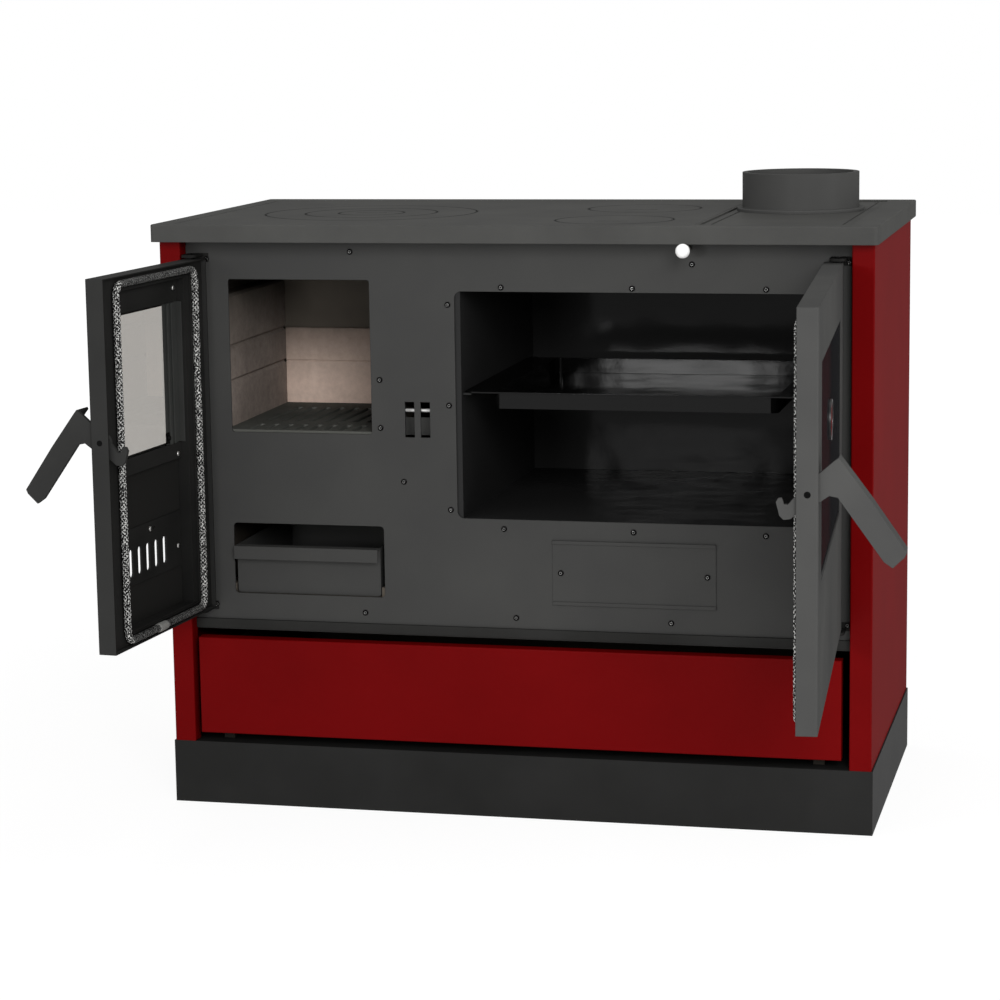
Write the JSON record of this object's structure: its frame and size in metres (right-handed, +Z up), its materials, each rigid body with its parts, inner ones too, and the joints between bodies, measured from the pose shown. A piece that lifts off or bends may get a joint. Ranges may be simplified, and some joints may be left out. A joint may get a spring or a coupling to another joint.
{
  "type": "wood cook stove",
  "caption": "Freestanding wood-fired cook stove with a brick-lined firebox, an oven, a hob with lift-out lids, a flue collar and a wood drawer.",
  "frame": {"origin": "on the floor, at the centre of the plinth's footprint", "axes": "+Z up, -Y out of the front, +X to the right of someone facing the front"},
  "size_m": [1.2103, 1.1358, 0.904],
  "materials": {
    "black_steel": "fine matt black stove paint",
    "plinth_paint": "matt black paint",
    "red_enamel": "deep red satin paint",
    "cast_top": "black-leaded cast iron",
    "oven_enamel": "gloss black vitreous enamel",
    "brick": "fired clay brick, a little sooted",
    "grate_iron": "rough cast iron",
    "bare_steel": "plain steel",
    "dark_steel": "heat-darkened steel",
    "screw_steel": "blackened screws",
    "rope": "glass-fibre sealing rope",
    "window": "clear ceramic glass",
    "knob_ceramic": "white glazed ceramic",
    "dial_face": "black dial printed with plain white numbers",
    "needle_red": "red needle"
  },
  "bodies": {
    "body": {"plinth": "plinth_paint", "left_side_panel": "red_enamel", "right_side_panel": "red_enamel", "back_panel": "dark_steel", "floor_plate": "dark_steel", "fascia": "black_steel", "fascia_ledge": "black_steel", "fascia_screws": "screw_steel", "soot_hatch": "black_steel", "hinge_brackets": "black_steel", "latch_keeper": "black_steel", "worktop_frame": "cast_top", "hob_plate": "cast_top", "flue_plate": "cast_top", "flue_collar": "cast_top", "damper_frame": "dark_steel", "firebox_casing": "dark_steel", "grate_frame": "grate_iron", "left_bricks": "brick", "rear_bricks": "brick", "right_bricks": "brick", "oven_box": "oven_enamel", "oven_rails": "oven_enamel", "drawer_runners": "dark_steel"},
    "left_door": {"left_door_shell": "black_steel", "left_door_inner_frame": "black_steel", "left_door_gasket": "rope", "left_door_glass": "window", "left_glass_retainers": "dark_steel", "left_door_screws": "bare_steel", "left_door_hinge_pins": "screw_steel", "left_handle_pivot": "screw_steel"},
    "left_lever": {"left_handle": "black_steel"},
    "slider": {"air_slider": "black_steel"},
    "right_door": {"right_door_shell": "black_steel", "right_door_inner_panel": "black_steel", "right_door_gasket": "rope", "right_door_glass": "window", "right_glass_retainer": "dark_steel", "right_door_screws": "bare_steel", "right_door_hinge_pins": "screw_steel", "right_handle_pivot": "screw_steel", "thermometer_body": "dark_steel", "thermometer_dial": "dial_face", "thermometer_glass": "window"},
    "right_lever": {"right_handle": "black_steel"},
    "needle": {"thermometer_needle": "needle_red"},
    "wood_drawer": {"wood_drawer_front": "red_enamel", "wood_drawer_box": "dark_steel"},
    "ash_drawer": {"ash_drawer": "black_steel"},
    "tray": {"baking_tray": "oven_enamel"},
    "damper": {"damper_rod": "bare_steel", "damper_knob": "knob_ceramic", "damper_plate": "dark_steel"},
    "outer_ring": {"outer_ring": "cast_top"},
    "inner_ring": {"inner_ring": "cast_top"},
    "centre_lid": {"centre_lid": "cast_top"},
    "front_lid": {"front_lid": "cast_top"},
    "rear_lid": {"rear_lid": "cast_top"},
    "grate": {"grate": "grate_iron"}
  },
  "joints": [
    {"name": "left_door_hinge", "type": "hinge", "parent": "body", "child": "left_door", "pos_m": [-0.464, -0.2585, 0.292], "axis": [0, 0, -1], "range_deg": [-94.8, 20]},
    {"name": "right_door_hinge", "type": "hinge", "parent": "body", "child": "right_door", "pos_m": [0.46, -0.2585, 0.292], "axis": [0, 0, 1], "range_deg": [-94, 20]},
    {"name": "left_lever_pivot", "type": "hinge", "parent": "left_door", "child": "left_lever", "pos_m": [-0.48422, -0.571, 0.581], "axis": [0.0837, 0.9965, 0], "range_deg": [-18, 10]},
    {"name": "right_lever_pivot", "type": "hinge", "parent": "right_door", "child": "right_lever", "pos_m": [0.49502, -0.84539, 0.581], "axis": [0.0698, -0.9976, 0], "range_deg": [-18, 10]},
    {"name": "air_slider_slide", "type": "slide", "parent": "left_door", "child": "slider", "axis": [-0.0837, -0.9965, 0], "range_m": [0, 0.0136]},
    {"name": "thermometer_needle_turn", "type": "hinge", "parent": "right_door", "child": "needle", "pos_m": [0.48124, -0.55073, 0.627], "axis": [-0.9976, -0.0698, 0], "range_deg": [0, 240]},
    {"name": "wood_drawer_slide", "type": "slide", "parent": "body", "child": "wood_drawer", "axis": [0, -1, 0], "range_m": [0, 0.4]},
    {"name": "ash_drawer_slide", "type": "slide", "parent": "body", "child": "ash_drawer", "axis": [0, -1, 0], "range_m": [0, 0.24]},
    {"name": "oven_tray_slide", "type": "slide", "parent": "body", "child": "tray", "axis": [0, -1, 0], "range_m": [0, 0.38]},
    {"name": "damper_slide", "type": "slide", "parent": "body", "child": "damper", "axis": [0, -1, 0], "range_m": [0, 0.08]},
    {"name": "outer_ring_lift", "type": "slide", "parent": "body", "child": "outer_ring", "axis": [0, 0, 1], "range_m": [0, 0.12]},
    {"name": "inner_ring_lift", "type": "slide", "parent": "outer_ring", "child": "inner_ring", "axis": [0, 0, 1], "range_m": [0, 0.12]},
    {"name": "centre_lid_lift", "type": "slide", "parent": "inner_ring", "child": "centre_lid", "axis": [0, 0, 1], "range_m": [0, 0.12]},
    {"name": "front_lid_lift", "type": "slide", "parent": "body", "child": "front_lid", "axis": [0, 0, 1], "range_m": [0, 0.12]},
    {"name": "rear_lid_lift", "type": "slide", "parent": "body", "child": "rear_lid", "axis": [0, 0, 1], "range_m": [0, 0.12]},
    {"name": "grate_lift", "type": "slide", "parent": "body", "child": "grate", "axis": [0, 0, 1], "range_m": [0, 0.06]}
  ]
}
